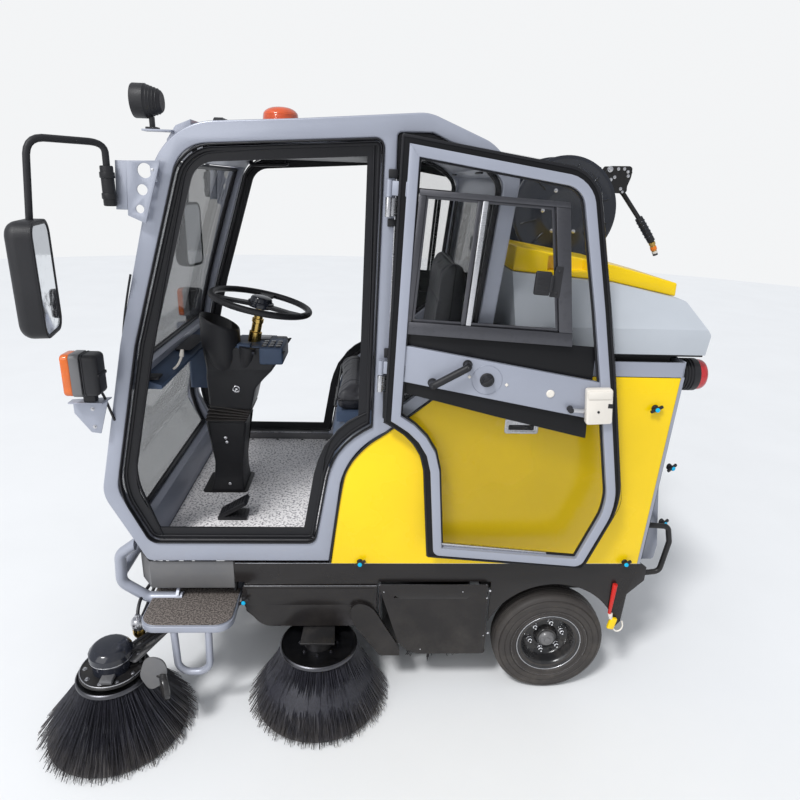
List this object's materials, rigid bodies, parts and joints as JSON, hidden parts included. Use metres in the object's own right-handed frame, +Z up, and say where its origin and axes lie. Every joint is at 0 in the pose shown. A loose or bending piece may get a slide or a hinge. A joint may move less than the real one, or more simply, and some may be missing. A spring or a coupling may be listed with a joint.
{
  "type": "compact cab road sweeper",
  "caption": "Compact ride-on road sweeper with an open-door cab, disc brushes at the front and sides, a cylindrical brush, and a rear lid carrying a hose reel",
  "frame": {"origin": "middle of the machine's footprint, on the ground", "axes": "+X towards the rear of the machine, -X the driving direction, +Y towards the machine's right side, +Z up"},
  "size_m": [2.2689, 1.82, 2.044],
  "materials": {
    "cab_paint": "bluish grey paint, satin",
    "lid_paint": "light grey moulded lid, slightly dusty",
    "yellow": "bright yellow gloss paint",
    "apron_grey": "dark grey paint",
    "black_steel": "black powder coat, worn at edges",
    "black_plastic": "moulded black plastic",
    "dash_plastic": "dark blue-grey moulded plastic",
    "seat_vinyl": "black padded vinyl",
    "clear_glass": "clear safety glass",
    "amber": "amber lens",
    "red": "red lens",
    "mirror_face": "mirror glass",
    "seal_rubber": "black rubber",
    "tyre_rubber": "black tyre rubber, dusty tread",
    "rim_black": "black painted pressed rim",
    "plain_steel": "bare steel",
    "bristle": "dark poly and steel bristle",
    "hose_rubber": "black hose",
    "battery_case": "battery cases as one block"
  },
  "bodies": {
    "machine": {"cab_frame_left": "cab_paint", "cab_frame_right": "cab_paint", "cab_cross_rails": "cab_paint", "cab_roof": "cab_paint", "door_seals": "seal_rubber", "door_hinges": "plain_steel", "cab_windows": "clear_glass", "cab_floor": "dash_plastic", "battery_block": "battery_case", "seat_pads": "seat_vinyl", "steering_column": "black_plastic", "pedal": "black_plastic", "dash_tray": "dash_plastic", "chassis_frame": "black_steel", "body_frame": "black_steel", "side_skirts": "black_steel", "brush_access_doors": "black_plastic", "front_apron": "apron_grey", "bumper_bar": "cab_paint", "steps": "cab_paint", "side_panels": "yellow", "panel_edging": "cab_paint", "rear_cover": "yellow", "dust_hopper": "black_steel", "lamp_brackets": "cab_paint", "mirrors": "black_plastic", "mirror_glass": "mirror_face", "lamp_housings": "black_plastic", "amber_lenses": "amber", "red_lenses": "red", "rear_axle": "black_steel", "brush_hangers": "black_steel"},
    "left_door": {"left_door_glass": "clear_glass", "left_door_frame": "cab_paint", "left_door_fittings": "black_steel"},
    "right_door": {"right_door_glass": "clear_glass", "right_door_frame": "cab_paint", "right_door_fittings": "black_steel"},
    "steering_fork": {"steering_fork": "black_steel"},
    "steering_wheel": {"steering_wheel": "black_plastic"},
    "front_wheel": {"front_rim": "rim_black", "front_tyre": "tyre_rubber"},
    "rear_wheel_left": {"rear_rim_left": "rim_black", "rear_tyre_left": "tyre_rubber"},
    "rear_wheel_right": {"rear_rim_right": "rim_black", "rear_tyre_right": "tyre_rubber"},
    "front_arm_left": {"front_arm_left": "black_steel"},
    "front_arm_right": {"front_arm_right": "black_steel"},
    "front_brush_left": {"front_brush_left": "bristle"},
    "front_brush_right": {"front_brush_right": "bristle"},
    "mid_brush_left": {"mid_brush_left": "bristle"},
    "mid_brush_right": {"mid_brush_right": "bristle"},
    "main_brush": {"main_brush": "bristle"},
    "rear_lid": {"rear_lid": "lid_paint", "lid_cover": "yellow", "reel_stand": "black_steel", "spray_gun": "black_plastic"},
    "hose_reel": {"hose_reel": "black_steel", "wound_hose": "hose_rubber"}
  },
  "joints": [
    {"name": "left_door_swing", "type": "hinge", "parent": "machine", "child": "left_door", "pos_m": [0.0005, -0.542, 1.068], "axis": [0.0221, 0, 0.9998], "range_deg": [-176, 0]},
    {"name": "right_door_swing", "type": "hinge", "parent": "machine", "child": "right_door", "pos_m": [0.0005, 0.542, 1.068], "axis": [0.0221, 0, 0.9998], "range_deg": [0, 176]},
    {"name": "steer", "type": "hinge", "parent": "machine", "child": "steering_fork", "pos_m": [-0.4645, 0, 0.5], "axis": [0, 0, 1], "range_deg": [-45, 45]},
    {"name": "steering_wheel_turn", "type": "hinge", "parent": "machine", "child": "steering_wheel", "pos_m": [-0.6025, 0, 0.606], "axis": [0.2079, 0, 0.9781], "range_deg": [-360, 360]},
    {"name": "front_wheel_spin", "type": "hinge", "parent": "steering_fork", "child": "front_wheel", "pos_m": [-0.4345, 0, 0.2075], "axis": [0, 1, 0], "continuous": true},
    {"name": "rear_wheel_left_spin", "type": "hinge", "parent": "machine", "child": "rear_wheel_left", "pos_m": [0.6555, -0.4675, 0.2075], "axis": [0, 1, 0], "continuous": true},
    {"name": "rear_wheel_right_spin", "type": "hinge", "parent": "machine", "child": "rear_wheel_right", "pos_m": [0.6555, 0.4675, 0.2075], "axis": [0, 1, 0], "continuous": true},
    {"name": "front_arm_left_lift", "type": "hinge", "parent": "machine", "child": "front_arm_left", "pos_m": [-0.6195, -0.395, 0.33], "axis": [0, 1, 0], "range_deg": [0, 10]},
    {"name": "front_arm_right_lift", "type": "hinge", "parent": "machine", "child": "front_arm_right", "pos_m": [-0.6195, 0.395, 0.33], "axis": [0, 1, 0], "range_deg": [0, 10]},
    {"name": "front_brush_left_spin", "type": "hinge", "parent": "front_arm_left", "child": "front_brush_left", "pos_m": [-0.8745, -0.65, 0.226], "axis": [0, 0, 1], "continuous": true},
    {"name": "front_brush_right_spin", "type": "hinge", "parent": "front_arm_right", "child": "front_brush_right", "pos_m": [-0.8745, 0.65, 0.226], "axis": [0, 0, 1], "continuous": true},
    {"name": "mid_brush_left_spin", "type": "hinge", "parent": "machine", "child": "mid_brush_left", "pos_m": [-0.1945, -0.53, 0.214], "axis": [0, 0, 1], "continuous": true},
    {"name": "mid_brush_right_spin", "type": "hinge", "parent": "machine", "child": "mid_brush_right", "pos_m": [-0.1945, 0.53, 0.214], "axis": [0, 0, 1], "continuous": true},
    {"name": "main_brush_spin", "type": "hinge", "parent": "machine", "child": "main_brush", "pos_m": [0.2305, 0, 0.178], "axis": [0, 1, 0], "continuous": true},
    {"name": "rear_lid_lift", "type": "hinge", "parent": "machine", "child": "rear_lid", "pos_m": [1.0255, 0, 1.312], "axis": [0, 1, 0], "range_deg": [0, 60]},
    {"name": "hose_reel_spin", "type": "hinge", "parent": "rear_lid", "child": "hose_reel", "pos_m": [0.7005, 0.15, 1.73], "axis": [0, 1, 0], "continuous": true}
  ],
  "couplings": [
    {"joint": "steering_wheel_turn", "follows": "steer", "ratio": 8}
  ]
}
